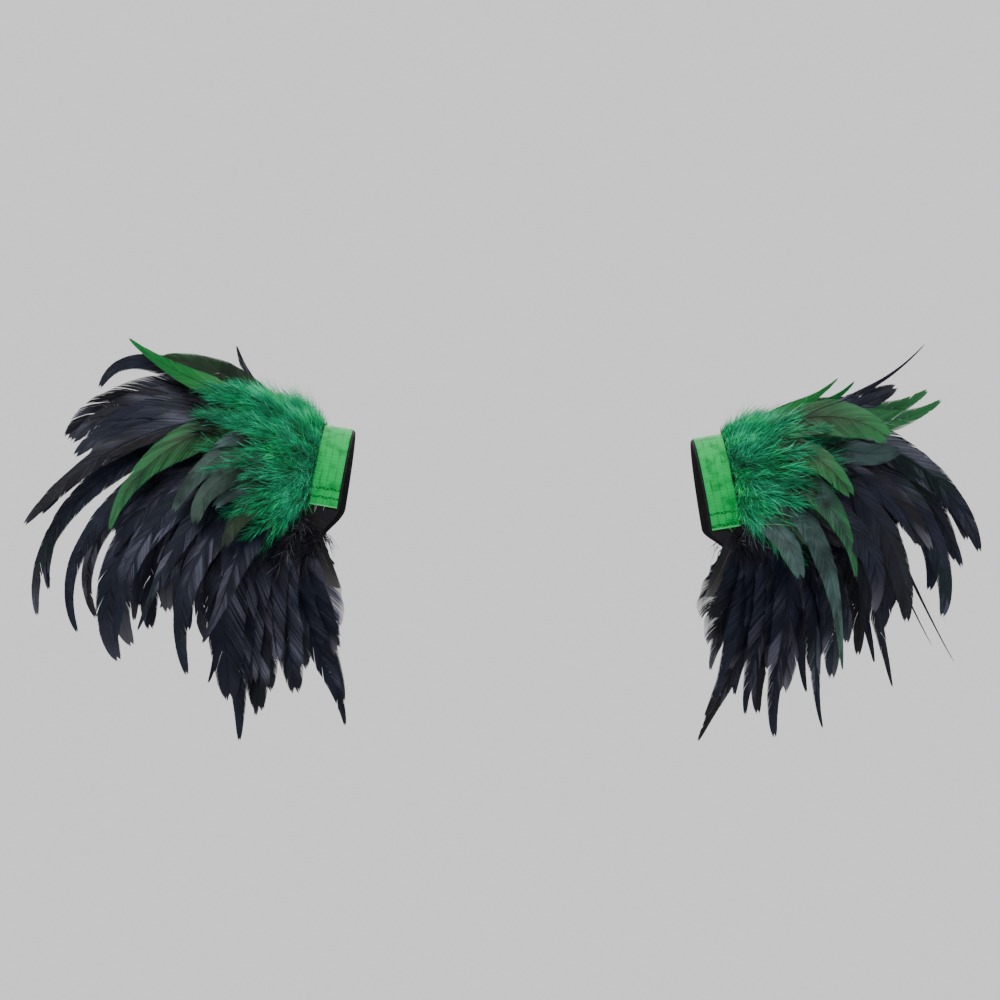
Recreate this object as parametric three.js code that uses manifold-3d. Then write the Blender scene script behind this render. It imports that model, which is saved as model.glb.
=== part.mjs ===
// A feather cape in two halves: a pair of feather shoulder pieces, one worn on each shoulder.
// Each half is a curved felt band with a satin ribbon along its neck edge, a green feather fringe, two
// black feather fringes and an elastic strap that passes under the arm.
// Millimetres, +Z up, the wearer faces -Y, and +X is the wearer's left. The origin is the middle of the
// wearer's shoulder line, between the two ribbons.
import * as THREE from 'three';
import { mergeVertices } from 'three/addons/utils/BufferGeometryUtils.js';
import Module from 'manifold-3d';

const wasm = await Module();
wasm.setup();

// The armhole is an oval ring that leans outwards towards its foot. Places on it are given by around, the
// angle in degrees from the top of the shoulder, + towards the chest, and across, the distance outwards
// from the neck edge.
const armhole = { halfDepth: 56, halfHeight: 62, lean: 9.5 };
const felt = { thick: 1.5, ends: 118, topWidth: 62, endWidth: 42, flatTo: 24, capFall: 0.16 };
const feltNeck = { edge: -1.5, cutBack: 15 };
const ribbon = { thick: 1, width: 22 };
const heading = { thick: 1.5, halfWidth: 2.5, gap: 0.5 };
const strap = { thick: 1.2, from: 15, inwards: 25, width: 12, lap: 9 };
const seam = 0.3;

// Where each half sits: the neck edge at the top of the shoulder, and where the ribbon stops front and back.
const halves = [
  { name: 'right', sign: -1, topOut: 133, topUp: 4, ribbonEnd: 89, tuftRise: 13 },
  { name: 'left', sign: 1, topOut: 130, topUp: -3, ribbonEnd: 98, tuftRise: 6 },
];

// The three fringes. rootTop is where the heading lies across the band at the
// top, rootLost how much nearer to the neck edge it is at its ends, and rise how steeply its feathers leave.
const fringes = {
  green: { ends: 88, rootTop: 26, rootLost: 0, rise: 15, colour: 0x1a8a4c },
  blackUpper: { ends: 84, rootTop: 39, rootLost: 6, rise: 7, colour: 0x14161d },
  blackLower: { ends: 116, rootTop: 54, rootLost: 40, rise: 2, colour: 0x101219 },
};

// Feathers that shape the outline, as seen from the front. out, up and front place the tip, in millimetres
// from the origin, with out away from the wearer's middle. arrive is the slope at the tip in degrees, and
// wide the width of the vane.
const featherTable = {
  right: {
    green: [
      { around: 4, out: 281, up: 60, front: 8, arrive: 5, wide: 14 },
      { around: 16, out: 303, up: 73, front: 22, arrive: 40, wide: 11 },
      { around: 30, out: 313, up: -72, front: 78, arrive: -62, wide: 21 },
      { around: 44, out: 275, up: -46, front: 92, arrive: -58, wide: 17 },
      { around: 58, out: 247, up: -65, front: 100, arrive: -85, wide: 16 },
      { around: 72, out: 223, up: -83, front: 104, arrive: -75, wide: 14 },
    ],
    blackUpper: [
      { around: -7.5, out: 224, up: 70, front: -7, arrive: 74, wide: 5 },
      { around: 2.5, out: 328, up: 37, front: 15, arrive: -66, wide: 11 },
      { around: 9, out: 350, up: -5, front: 10, arrive: -49, wide: 17 },
      { around: 16, out: 336, up: -22, front: 40, arrive: -52, wide: 12 },
      { around: 25, out: 379, up: -68, front: 63, arrive: -52, wide: 15 },
      { around: 31, out: 370, up: -137, front: 58, arrive: -102, wide: 15 },
      { around: 39, out: 338, up: -149, front: 72, arrive: -118, wide: 13 },
      { around: 47, out: 305, up: -170, front: 84, arrive: -122, wide: 18 },
      { around: 55, out: 306, up: -156, front: 98, arrive: -92, wide: 14 },
      { around: 63, out: 288, up: -146, front: 112, arrive: -70, wide: 13 },
      { around: 71, out: 251, up: -179, front: 118, arrive: -108, wide: 16 },
      { around: 79, out: 239, up: -155, front: 126, arrive: -60, wide: 18 },
    ],
    blackLower: [
      { around: 20, out: 296, up: -131, front: 34, arrive: -95, wide: 18 },
      { around: 36, out: 285, up: -148, front: 52, arrive: -100, wide: 18 },
      { around: 52, out: 262, up: -157, front: 66, arrive: -95, wide: 18 },
      { around: 66, out: 239, up: -187, front: 74, arrive: -70, wide: 12 },
      { around: 76, out: 221, up: -200, front: 91, arrive: -95, wide: 20 },
      { around: 85, out: 214, up: -229, front: 97, arrive: -88, wide: 20 },
      { around: 93, out: 200, up: -208, front: 87, arrive: -92, wide: 18 },
      { around: 101, out: 173, up: -195, front: 84, arrive: -95, wide: 18 },
      { around: 110, out: 136, up: -219, front: 76, arrive: -98, wide: 18 },
    ],
  },
  left: {
    green: [
      { around: 4, out: 255, up: 42, front: 0, arrive: 48, wide: 7 },
      { around: 14, out: 319, up: 27, front: 26, arrive: 37, wide: 15 },
      { around: 29, out: 269, up: -7, front: 77, arrive: -50, wide: 20 },
      { around: 40, out: 241, up: -46, front: 89, arrive: -60, wide: 11 },
      { around: 54, out: 240, up: -107, front: 99, arrive: -86, wide: 14 },
      { around: 66, out: 235, up: -171, front: 118, arrive: -91, wide: 14 },
      { around: 80, out: 205, up: -108, front: 104, arrive: -75, wide: 14 },
    ],
    blackUpper: [
      { around: 2, out: 305, up: 69, front: 34, arrive: 48, wide: 5 },
      { around: 9, out: 283, up: 35, front: 6, arrive: 30, wide: 9 },
      { around: 16, out: 347, up: -86, front: 21, arrive: -70, wide: 18 },
      { around: 25, out: 338, up: -89, front: 50, arrive: -78, wide: 16 },
      { around: 32, out: 310, up: -140, front: 62, arrive: -108, wide: 18 },
      { around: 40, out: 322, up: -171, front: 76, arrive: -60, wide: 6 },
      { around: 48, out: 285, up: -141, front: 88, arrive: -95, wide: 16 },
      { around: 57, out: 274, up: -189, front: 91, arrive: -78, wide: 13 },
      { around: 66, out: 257, up: -133, front: 111, arrive: -115, wide: 16 },
      { around: 81, out: 224, up: -145, front: 78, arrive: -88, wide: 5 },
    ],
    blackLower: [
      { around: 20, out: 286, up: -129, front: 34, arrive: -95, wide: 18 },
      { around: 36, out: 270, up: -148, front: 52, arrive: -100, wide: 18 },
      { around: 52, out: 251, up: -167, front: 66, arrive: -95, wide: 18 },
      { around: 65, out: 230, up: -184, front: 78, arrive: -92, wide: 20 },
      { around: 77, out: 222, up: -220, front: 88, arrive: -76, wide: 13 },
      { around: 87, out: 186, up: -227, front: 92, arrive: -82, wide: 18 },
      { around: 96, out: 164, up: -210, front: 88, arrive: -92, wide: 18 },
      { around: 105, out: 145, up: -195, front: 80, arrive: -95, wide: 16 },
      { around: 112, out: 130, up: -231, front: 72, arrive: -116, wide: 15 },
    ],
  },
};

const tuft = { every: 5, long: 56, wide: 6, high: 7, touch: 4 };
const vane = { steps: 13, rootShare: 0.35, ridge: 1.6 };

const radians = THREE.MathUtils.degToRad;
const smooth = THREE.MathUtils.smoothstep;

// A repeatable number from 0 to 1 for each whole number.
function chance(n) {
  const s = Math.sin(n * 127.1 + 311.7) * 43758.5453;
  return s - Math.floor(s);
}

// The directions of one half, and a function that places a point by around, across and height over the felt.
function placer(half) {
  const lean = radians(armhole.lean);
  const outwards = new THREE.Vector3(half.sign * Math.cos(lean), 0, Math.sin(lean));
  const upwards = new THREE.Vector3(-half.sign * Math.sin(lean), 0, Math.cos(lean));
  const top = new THREE.Vector3(half.sign * half.topOut, 0, half.topUp);
  const centre = top.addScaledVector(upwards, -armhole.halfHeight);
  const fromRing = (around) => {
    const a = radians(around);
    return new THREE.Vector3(0, -Math.sin(a), 0).addScaledVector(upwards, Math.cos(a));
  };
  const alongRing = (around) => {
    const a = radians(around);
    return new THREE.Vector3(0, -Math.cos(a), 0).addScaledVector(upwards, -Math.sin(a));
  };
  const at = (around, across, height) => {
    const past = Math.max(0, across - felt.flatTo) / (felt.topWidth - felt.flatTo);
    const share = 1 - felt.capFall * past * past;
    const a = radians(around);
    const y = -(armhole.halfDepth * share + height) * Math.sin(a);
    const u = (armhole.halfHeight * share + height) * Math.cos(a);
    return centre.clone().addScaledVector(outwards, across).addScaledVector(upwards, u).setY(y);
  };
  return { half, outwards, upwards, fromRing, alongRing, at };
}

// The outer edge of the felt, which is widest over the top of the shoulder.
function feltEdge(around) {
  const share = Math.cos(radians((90 * around) / felt.ends));
  return felt.endWidth + (felt.topWidth - felt.endWidth) * share;
}

// The neck edge of the felt, which is cut back below the ends of the ribbon.
function feltNeckEdge(place, around) {
  return feltNeck.edge + feltNeck.cutBack * smooth(Math.abs(around), place.half.ribbonEnd, felt.ends);
}

// A wall between two heights over the felt, with a row of corners at each of its stops around the armhole.
// from and to give its edges across the band.
function wall(place, { stops, rows, from, to, low, high }) {
  const positions = [];
  const index = [];
  const steps = stops.length - 1;
  const id = (i, j, side) => (i * (rows + 1) + j) * 2 + side;
  for (const around of stops) {
    for (let j = 0; j <= rows; j++) {
      const across = from(around) + ((to(around) - from(around)) * j) / rows;
      for (const height of [low, high]) positions.push(...place.at(around, across, height).toArray());
    }
  }
  const quad = (a, b, c, d) => index.push(a, b, c, a, c, d);
  for (let i = 0; i < steps; i++) {
    for (let j = 0; j < rows; j++) {
      quad(id(i, j, 1), id(i + 1, j, 1), id(i + 1, j + 1, 1), id(i, j + 1, 1));
      quad(id(i, j, 0), id(i, j + 1, 0), id(i + 1, j + 1, 0), id(i + 1, j, 0));
    }
    quad(id(i, 0, 0), id(i + 1, 0, 0), id(i + 1, 0, 1), id(i, 0, 1));
    quad(id(i, rows, 0), id(i, rows, 1), id(i + 1, rows, 1), id(i + 1, rows, 0));
  }
  for (let j = 0; j < rows; j++) {
    quad(id(0, j, 0), id(0, j, 1), id(0, j + 1, 1), id(0, j + 1, 0));
    quad(id(steps, j, 0), id(steps, j + 1, 0), id(steps, j + 1, 1), id(steps, j, 1));
  }
  return closed(positions, index, place.half.sign);
}

function evenly(start, end, steps) {
  return Array.from({ length: steps + 1 }, (_, i) => start + ((end - start) * i) / steps);
}

// A closed geometry, with its faces turned round on the half where the steps run the other way.
function closed(positions, index, sign) {
  for (let i = 0; sign < 0 && i < index.length; i += 3) {
    [index[i + 1], index[i + 2]] = [index[i + 2], index[i + 1]];
  }
  const geometry = new THREE.BufferGeometry();
  geometry.setAttribute('position', new THREE.Float32BufferAttribute(positions, 3));
  geometry.setIndex(index);
  return geometry;
}

function toSolid(geometry) {
  const merged = mergeVertices(geometry, 1e-4);
  const vertProperties = merged.attributes.position.array;
  const triVerts = new Uint32Array(merged.index.array);
  return new wasm.Manifold(new wasm.Mesh({ numProp: 3, vertProperties, triVerts }));
}

// A solid as a geometry, with its largest faces first.
function toGeometry(solid) {
  const { vertProperties, triVerts } = solid.getMesh();
  const corner = (i) => new THREE.Vector3().fromArray(vertProperties, 3 * i);
  const faces = [];
  for (let i = 0; i < triVerts.length; i += 3) {
    const ids = [...triVerts.subarray(i, i + 3)];
    faces.push({ ids, area: new THREE.Triangle(...ids.map(corner)).getArea() });
  }
  faces.sort((a, b) => b.area - a.area);
  const geometry = new THREE.BufferGeometry();
  geometry.setAttribute('position', new THREE.BufferAttribute(vertProperties, 3));
  geometry.setIndex(faces.flatMap((face) => face.ids));
  return geometry;
}

// How wide a vane is along its length, as a share of its widest.
function vaneShape(t) {
  return Math.min(1, vane.rootShare + 1.8 * t) * Math.sqrt(1 - Math.pow(t, 4));
}

// A three-sided blade along a curve: a flat back, two edges and a ridge where the shaft runs. facing gives
// the way that the vane looks at each share of its length. Each side is folded outwards where it twists.
function blade(curve, wide, ridge, facing, steps) {
  const positions = [];
  const index = [];
  for (let k = 0; k < steps; k++) {
    const t = k / steps;
    const spot = curve.getPoint(t);
    const ahead = curve.getTangent(t);
    const side = new THREE.Vector3().crossVectors(facing(t), ahead).normalize();
    const over = new THREE.Vector3().crossVectors(ahead, side).normalize();
    const half = (wide * vaneShape(t)) / 2;
    const high = ridge * (1 - 0.6 * t);
    positions.push(...spot.clone().addScaledVector(side, -half).toArray());
    positions.push(...spot.clone().addScaledVector(side, half).toArray());
    positions.push(...spot.clone().addScaledVector(over, high).toArray());
  }
  positions.push(...curve.getPoint(1).toArray());
  const corner = (id) => new THREE.Vector3().fromArray(positions, 3 * id);
  index.push(0, 2, 1);
  for (let k = 0; k < steps - 1; k++) {
    for (let e = 0; e < 3; e++) {
      const a = 3 * k + e;
      const b = 3 * k + ((e + 1) % 3);
      const one = corner(b + 3).sub(corner(a));
      const other = corner(a + 3).sub(corner(b));
      const rises = corner(a).add(corner(b + 3)).sub(corner(b)).sub(corner(a + 3));
      if (rises.dot(one.cross(other)) > 0) index.push(a, b, b + 3, a, b + 3, a + 3);
      else index.push(a, b, a + 3, b, b + 3, a + 3);
    }
  }
  const last = 3 * (steps - 1);
  for (let e = 0; e < 3; e++) index.push(last + e, last + ((e + 1) % 3), 3 * steps);
  return closed(positions, index, 1);
}

function rootAcross(fringe, around) {
  return fringe.rootTop - fringe.rootLost * Math.pow(Math.abs(around) / fringe.ends, 3);
}

// The direction outwards from the band, turned down along it by an angle.
function drooping(place, around, angle) {
  const down = place.alongRing(around).multiplyScalar(Math.sign(around) || 1);
  return place.outwards.clone().multiplyScalar(Math.cos(angle)).addScaledVector(down, Math.sin(angle));
}

// A feather leaves its heading square to it, or more downwards near the ends, and arrives at its tip.
function featherCurve(place, fringe, row) {
  const root = place.at(row.around, rootAcross(fringe, row.around), heading.gap + heading.thick / 2);
  const droop = radians(72 * smooth(Math.abs(row.around), 35, 112));
  const rise = radians(fringe.rise);
  const leave = drooping(place, row.around, droop).multiplyScalar(Math.cos(rise));
  leave.addScaledVector(place.fromRing(row.around), Math.sin(rise));
  const tip = new THREE.Vector3(place.half.sign * row.out, -row.front, row.up);
  const slope = radians(row.arrive);
  const arrive = new THREE.Vector3(place.half.sign * Math.cos(slope), 0, Math.sin(slope));
  arrive.y = -0.15 * Math.sign(row.front);
  const reach = root.distanceTo(tip);
  const leaving = root.clone().addScaledVector(leave, 0.4 * reach);
  const arriving = tip.clone().addScaledVector(arrive.normalize(), -0.36 * reach);
  return new THREE.CubicBezierCurve3(root, leaving, arriving, tip);
}

// A vane lies flat on the band at its root and has turned to the front, or to the back, by the middle.
function feather(place, fringe, row) {
  const flat = place.fromRing(row.around);
  const turned = new THREE.Vector3(0.5 * place.half.sign, -Math.sign(row.front), 0);
  turned.addScaledVector(flat, 0.3);
  const facing = (t) => flat.clone().lerp(turned.normalize(), smooth(t, 0.05, 0.75)).normalize();
  return toSolid(blade(featherCurve(place, fringe, row), row.wide, vane.ridge, facing, vane.steps));
}

// The back half of a fringe repeats the front one behind the shoulder, with its own lengths.
function behind(row, n) {
  return {
    ...row,
    around: -row.around - 1.5,
    out: Math.max(144, row.out * (0.985 + 0.045 * chance(n))),
    up: row.up + 3 + 14 * chance(n + 50),
    front: -row.front - 4,
  };
}

// The strip that the roots are fused into.
function headingStrip(place, fringe) {
  return toSolid(
    wall(place, {
      stops: evenly(-fringe.ends, fringe.ends, 30),
      rows: 1,
      from: (around) => rootAcross(fringe, around) - heading.halfWidth,
      to: (around) => rootAcross(fringe, around) + heading.halfWidth,
      low: heading.gap,
      high: heading.gap + heading.thick,
    }),
  );
}

// Down at the feet of the green feathers: short thick tufts that stand over them, one after another.
function downTuft(place, around, n) {
  const long = tuft.long * (0.85 + 0.3 * chance(n + 200));
  const rise = radians(place.half.tuftRise + (n % 2 ? 8 : -2));
  const root = place.at(around, fringes.green.rootTop, heading.gap + heading.thick / 2);
  const droop = radians(60 * smooth(Math.abs(around), 35, 100));
  const ahead = drooping(place, around, droop);
  const away = place.fromRing(around);
  const climb = Math.tan(rise) * long;
  const spot = (share, lift) => {
    return root.clone().addScaledVector(ahead, share * long).addScaledVector(away, lift * climb);
  };
  const curve = new THREE.CubicBezierCurve3(root, spot(0.35, 0.42), spot(0.75, 0.85), spot(1, 0.8));
  return toSolid(blade(curve, tuft.wide, tuft.high, () => away, 5));
}

// The tufts stand in the gaps between the green feathers, except where a feather sweeps through.
function downTufts(place, rows, feathers) {
  const roots = rows.map((row) => row.around).sort((a, b) => a - b);
  const places = [];
  for (let i = 1; i < roots.length; i++) {
    const gap = roots[i] - roots[i - 1];
    const parts = Math.max(2, Math.round(gap / tuft.every));
    for (let k = 1; k < parts; k++) places.push(roots[i - 1] + (gap * k) / parts);
  }
  const tufts = places.map((around, n) => downTuft(place, around, n));
  return tufts.filter((solid) => !feathers.some((one) => one.intersect(solid).volume() > tuft.touch));
}

function fringeRows(place, name) {
  const front = featherTable[place.half.name][name];
  return [...front, ...front.filter((row) => row.around > 6).map(behind)];
}

function fringeSolid(place, name) {
  const rows = fringeRows(place, name);
  const pieces = rows.map((row) => feather(place, fringes[name], row));
  if (name === 'green') pieces.push(...downTufts(place, rows, pieces));
  return pieces.reduce((whole, piece) => whole.add(piece), headingStrip(place, fringes[name]));
}

function named(name, geometry, colour, roughness) {
  const material = new THREE.MeshStandardMaterial({ color: colour, roughness, metalness: 0 });
  const mesh = new THREE.Mesh(geometry, material);
  mesh.name = name;
  return mesh;
}

function feltBand(place) {
  return wall(place, {
    stops: evenly(-felt.ends, felt.ends, 30),
    rows: 5,
    from: (around) => feltNeckEdge(place, around),
    to: feltEdge,
    low: -felt.thick,
    high: 0,
  });
}

function ribbonBand(place) {
  return wall(place, {
    stops: evenly(-place.half.ribbonEnd, place.half.ribbonEnd, 28),
    rows: 1,
    from: () => 0,
    to: () => ribbon.width,
    low: seam,
    high: seam + ribbon.thick,
  });
}

function underarmStrap(place) {
  const top = -felt.thick - seam;
  const start = felt.ends - strap.lap;
  const end = 360 - start;
  const from = (around) => {
    return strap.from - strap.inwards * Math.sin((Math.PI * (around - start)) / (end - start));
  };
  return wall(place, {
    stops: evenly(start, end, 20),
    rows: 1,
    from,
    to: (around) => from(around) + strap.width,
    low: top - strap.thick,
    high: top,
  });
}

const cape = new THREE.Group();
for (const half of halves) {
  const place = placer(half);
  cape.add(named(`${half.name}_felt_band`, feltBand(place), 0x15161a, 0.95));
  cape.add(named(`${half.name}_satin_ribbon`, ribbonBand(place), 0x2fb254, 0.4));
  cape.add(named(`${half.name}_underarm_strap`, underarmStrap(place), 0x121214, 0.8));
  for (const [name, fringe] of Object.entries(fringes)) {
    const label = name.replace('Upper', '_upper').replace('Lower', '_lower');
    const geometry = toGeometry(fringeSolid(place, name));
    cape.add(named(`${half.name}_${label}_fringe`, geometry, fringe.colour, 0.6));
  }
}

export default cape;
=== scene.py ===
import math
from collections import namedtuple

import bmesh
import bpy
import numpy as np
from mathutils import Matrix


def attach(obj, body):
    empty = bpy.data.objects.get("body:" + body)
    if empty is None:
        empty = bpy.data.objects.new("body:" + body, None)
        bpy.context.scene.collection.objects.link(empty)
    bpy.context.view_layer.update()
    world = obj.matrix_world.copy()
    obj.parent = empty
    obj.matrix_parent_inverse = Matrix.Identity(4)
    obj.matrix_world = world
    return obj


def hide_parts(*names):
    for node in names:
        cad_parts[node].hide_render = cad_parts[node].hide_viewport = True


# A pair of feather shoulder pieces: felt bands, satin ribbons, straps, down and coque feathers.
# Lengths are in millimetres up to the moment when a mesh is made. The front faces -Y, and +Z is up.
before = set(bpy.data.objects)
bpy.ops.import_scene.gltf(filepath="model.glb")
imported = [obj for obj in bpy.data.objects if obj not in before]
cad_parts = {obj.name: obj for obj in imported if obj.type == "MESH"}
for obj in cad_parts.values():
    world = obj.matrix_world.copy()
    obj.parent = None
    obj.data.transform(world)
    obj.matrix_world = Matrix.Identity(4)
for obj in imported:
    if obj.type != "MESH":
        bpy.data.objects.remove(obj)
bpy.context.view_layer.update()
print("frame loaded")

metre = 0.001
forwards = np.array([0.0, -1.0, 0.0])

armhole = {"halfDepth": 56, "halfHeight": 62, "lean": 9.5}
band = {"flatTo": 24, "topWidth": 62, "endWidth": 42, "ends": 118, "capFall": 0.16}
tape = {"low": 0.4, "high": 1.5, "halfWidth": 2.3, "root": 1.1, "rows": 90}
perDegree = 1.05    # millimetres along the band for a degree round the armhole


def unit(v):
    return v / np.linalg.norm(v, axis=-1, keepdims=True)


def smooth(x, low, high):
    t = np.clip((np.asarray(x, float) - low) / (high - low), 0, 1)
    return t * t * (3 - 2 * t)


def outer(numbers, vector):
    return np.multiply.outer(np.asarray(numbers, float), vector)


# One half. around is the angle round the armhole from its top, + towards the front, across the
# distance outwards from the neck edge, and height the distance over the felt.
class Side:
    def __init__(self, name, sign, topOut, topUp, ribbonEnd, downRise, seed):
        self.name, self.sign, self.seed = name, sign, seed
        self.ribbonEnd, self.downRise = ribbonEnd, downRise
        lean = math.radians(armhole["lean"])
        self.outwards = np.array([sign * math.cos(lean), 0, math.sin(lean)])
        self.upwards = np.array([-sign * math.sin(lean), 0, math.cos(lean)])
        self.centre = np.array([sign * topOut, 0, topUp]) - self.upwards * armhole["halfHeight"]

    # The way straight off the band.
    def fromRing(self, around):
        a = np.radians(around)
        return outer(np.sin(a), forwards) + outer(np.cos(a), self.upwards)

    # The way along the band, from the back to the front over its top.
    def alongRing(self, around):
        a = np.radians(around)
        return outer(np.cos(a), forwards) - outer(np.sin(a), self.upwards)

    def at(self, around, across, height):
        around, across, height = np.broadcast_arrays(around, across, height)
        past = np.maximum(0, across - band["flatTo"]) / (band["topWidth"] - band["flatTo"])
        share = 1 - band["capFall"] * past**2
        a = np.radians(around)
        ahead = (armhole["halfDepth"] * share + height) * np.sin(a)
        up = (armhole["halfHeight"] * share + height) * np.cos(a)
        spot = outer(across, self.outwards) + outer(up, self.upwards) + outer(ahead, forwards)
        return self.centre + spot

    # Outwards from the band, turned down along it by an angle in degrees.
    def drooping(self, around, angle):
        down = self.alongRing(around) * (1 if around >= 0 else -1)
        a = math.radians(float(angle))
        return self.outwards * math.cos(a) + down * math.sin(a)


# topOut and topUp place the top of the neck edge, ribbonEnd is where the ribbon stops, and downRise how
# much more steeply than its own rows the down climbs.
sides = [
    Side("right", -1, topOut=133, topUp=4, ribbonEnd=89, downRise=13, seed=11),
    Side("left", 1, topOut=130, topUp=-3, ribbonEnd=98, downRise=-1, seed=23),
]


# Gathers grids of points into one mesh, with numbers at each point and a place on the bake map.
class Weave:
    def __init__(self):
        self.points, self.faces, self.map, self.numbers, self.count = [], [], [], [], 0

    # points has the shape (grids, rows, columns, 3). closed joins the last column to the first.
    def add(self, points, spots, closed=False, **numbers):
        shape = points.shape[:3]
        ids = np.arange(math.prod(shape)).reshape(shape) + self.count
        if closed:
            ids = np.concatenate([ids, ids[:, :, :1]], 2)
        a, b = ids[:, :-1, :-1], ids[:, :-1, 1:]
        c, d = ids[:, 1:, 1:], ids[:, 1:, :-1]
        self.faces.append(np.stack([a, b, c, d], -1).reshape(-1, 4))
        self.points.append(points.reshape(-1, 3))
        self.map.append(np.broadcast_to(spots, (*shape, 2)).reshape(-1, 2))
        self.numbers.append({key: np.broadcast_to(n, shape).ravel() for key, n in numbers.items()})
        self.count += math.prod(shape)

    # Makes a half's piece on the one body, in place of a solid where node names one. A number that
    # a grid wasn't given is 0 there.
    def make(self, side, label, finish, slot, node=None, weld=False):
        name = f"{side.name}_{label}"
        points, faces = np.concatenate(self.points) * metre, np.concatenate(self.faces)
        mesh = bpy.data.meshes.new(name)
        mesh.from_pydata(points.tolist(), [], faces.tolist())
        mesh.shade_smooth()
        bakeMap = mesh.uv_layers.new(name="OFBake")
        corners = np.empty(len(mesh.loops), np.int32)
        mesh.loops.foreach_get("vertex_index", corners)
        spots = np.clip(np.concatenate(self.map)[corners], 0.001, 0.999)
        bakeMap.data.foreach_set("uv", spots.astype(np.float32).ravel())
        for key in dict.fromkeys(key for row in self.numbers for key in row):
            parts = zip(self.numbers, self.points)
            values = [np.broadcast_to(row.get(key, 0.0), len(part)) for row, part in parts]
            values = np.concatenate(values).astype(np.float32)
            mesh.attributes.new(key, "FLOAT", "POINT").data.foreach_set("value", values)
        if weld:
            shell = bmesh.new()
            shell.from_mesh(mesh)
            bmesh.ops.remove_doubles(shell, verts=shell.verts, dist=1e-6)
            shell.to_mesh(mesh)
            shell.free()
        mesh.materials.append(finishes[finish])
        thing = bpy.data.objects.new(name, mesh)
        bpy.context.scene.collection.objects.link(thing)
        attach(thing, "root")
        if node:
            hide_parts(f"{side.name}_{node}")
        print(name, len(faces) * 2, "triangles")
        return thing


# A socket that can be used in sums.
class Wire:
    def __init__(self, graph, socket):
        self.graph, self.socket = graph, socket

    def maths(self, operation, *values):
        return self.graph.add("ShaderNodeMath", {"operation": operation}, values)

    def __add__(self, other):
        return self.maths("ADD", self, other)

    def __radd__(self, other):
        return self.maths("ADD", other, self)

    def __sub__(self, other):
        return self.maths("SUBTRACT", self, other)

    def __rsub__(self, other):
        return self.maths("SUBTRACT", other, self)

    def __mul__(self, other):
        return self.maths("MULTIPLY", self, other)

    def __rmul__(self, other):
        return self.maths("MULTIPLY", other, self)

    # 0 below low, 1 above high, and smooth between them.
    def rise(self, low, high):
        values = {"Value": self, "From Min": low, "From Max": high}
        return self.graph.add("ShaderNodeMapRange", {"interpolation_type": "SMOOTHSTEP"}, values)

    # Waves between 0 and 1.
    def waves(self, turns):
        return self.maths("SINE", self * turns) * 0.5 + 0.5


# A material and its nodes.
class Graph:
    def __init__(self, name):
        self.material = bpy.data.materials.new(name)
        self.material.use_nodes = True
        self.tree = self.material.node_tree
        self.tree.nodes.clear()
        self.shader = self.tree.nodes.new("ShaderNodeBsdfPrincipled")
        end = self.tree.nodes.new("ShaderNodeOutputMaterial")
        self.tree.links.new(self.shader.outputs[0], end.inputs[0])

    def fill(self, socket, value):
        if isinstance(value, Wire):
            self.tree.links.new(value.socket, socket)
        elif isinstance(value, tuple) and socket.type == "RGBA":
            socket.default_value = (*value[:3], 1)
        else:
            socket.default_value = value

    # kind is the node's type, settings are set first, and values go to its inputs by place or name.
    def add(self, kind, settings=None, values=(), out=0):
        node = self.tree.nodes.new(kind)
        for key, value in (settings or {}).items():
            setattr(node, key, value)
        pairs = values.items() if isinstance(values, dict) else enumerate(values)
        for key, value in pairs:
            self.fill(node.inputs[key], value)
        return Wire(self, node.outputs[out])

    def number(self, name):
        return self.add("ShaderNodeAttribute", {"attribute_name": name}, out="Fac")

    def noise(self, scale, detail=2):
        spot = self.add("ShaderNodeTexCoord", out="Object")
        return self.add("ShaderNodeTexNoise", None, {"Vector": spot, "Scale": scale, "Detail": detail})

    # Noise along one number, such as the distance along a shaft.
    def grain(self, number, detail=1):
        settings = {"noise_dimensions": "1D"}
        return self.add("ShaderNodeTexNoise", settings, {"W": number, "Scale": 1.0, "Detail": detail})

    # Fine hairs across a vane, which differ from feather to feather.
    def hairs(self):
        return self.grain(self.number("hair") * 2.4 + self.number("tone") * 300)

    def mix(self, share, one, other):
        return self.add("ShaderNodeMix", {"data_type": "RGBA"}, {0: share, 6: one, 7: other}, out=2)

    def bump(self, height, strength, distance):
        values = {"Height": height, "Strength": strength, "Distance": distance}
        return self.add("ShaderNodeBump", None, values, out="Normal")

    def finish(self, **values):
        for key, value in values.items():
            self.fill(self.shader.inputs[key.replace("_", " ")], value)
        return self.material


def blackFeather(**dyes):
    g = Graph("black coque feather")
    along, across, tone = g.number("along"), g.number("across"), g.number("tone")
    streak, pale, fine = g.number("streak"), g.number("pale"), g.hairs()
    colour = g.mix(g.noise(34, 3).rise(0.38, 0.66), dyes["dark"], dyes["light"])
    brown = tone.rise(0.72, 0.95) * along.rise(0.35, 0.8)
    colour = g.mix(brown * 0.6, colour, dyes["brown"])
    green = g.noise(21, 2).rise(0.52, 0.72) * (1 - brown)
    colour = g.mix(green * 0.6, colour, dyes["green"])
    # Painted highlight: pale grey-violet streaks along the barbs, mixed into the colour.
    light = streak.rise(0.6, 1.0) * fine.rise(0.3, 0.75) * across.rise(0.05, 0.4)
    colour = g.mix(light * 0.26, colour, dyes["streak"])
    # Painted sheen: silvery-violet highlight patches along the barbs, mixed into the colour.
    sheen = g.noise(13, 2).rise(0.47, 0.64) * fine.rise(0.35, 0.7)
    sheen = sheen * streak.rise(0.35, 0.9) * across.rise(0.05, 0.3)
    colour = g.mix(sheen * 0.8, colour, dyes["sheen"])
    colour = g.mix(pale, colour, dyes["tip"])
    return g.finish(
        Base_Color=colour,
        Roughness=0.46 - 0.16 * streak,
        Normal=g.bump(fine, 0.35, 0.0004),
        Specular_IOR_Level=0.13,
        Specular_Tint=dyes["tint"],
    )


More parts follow.
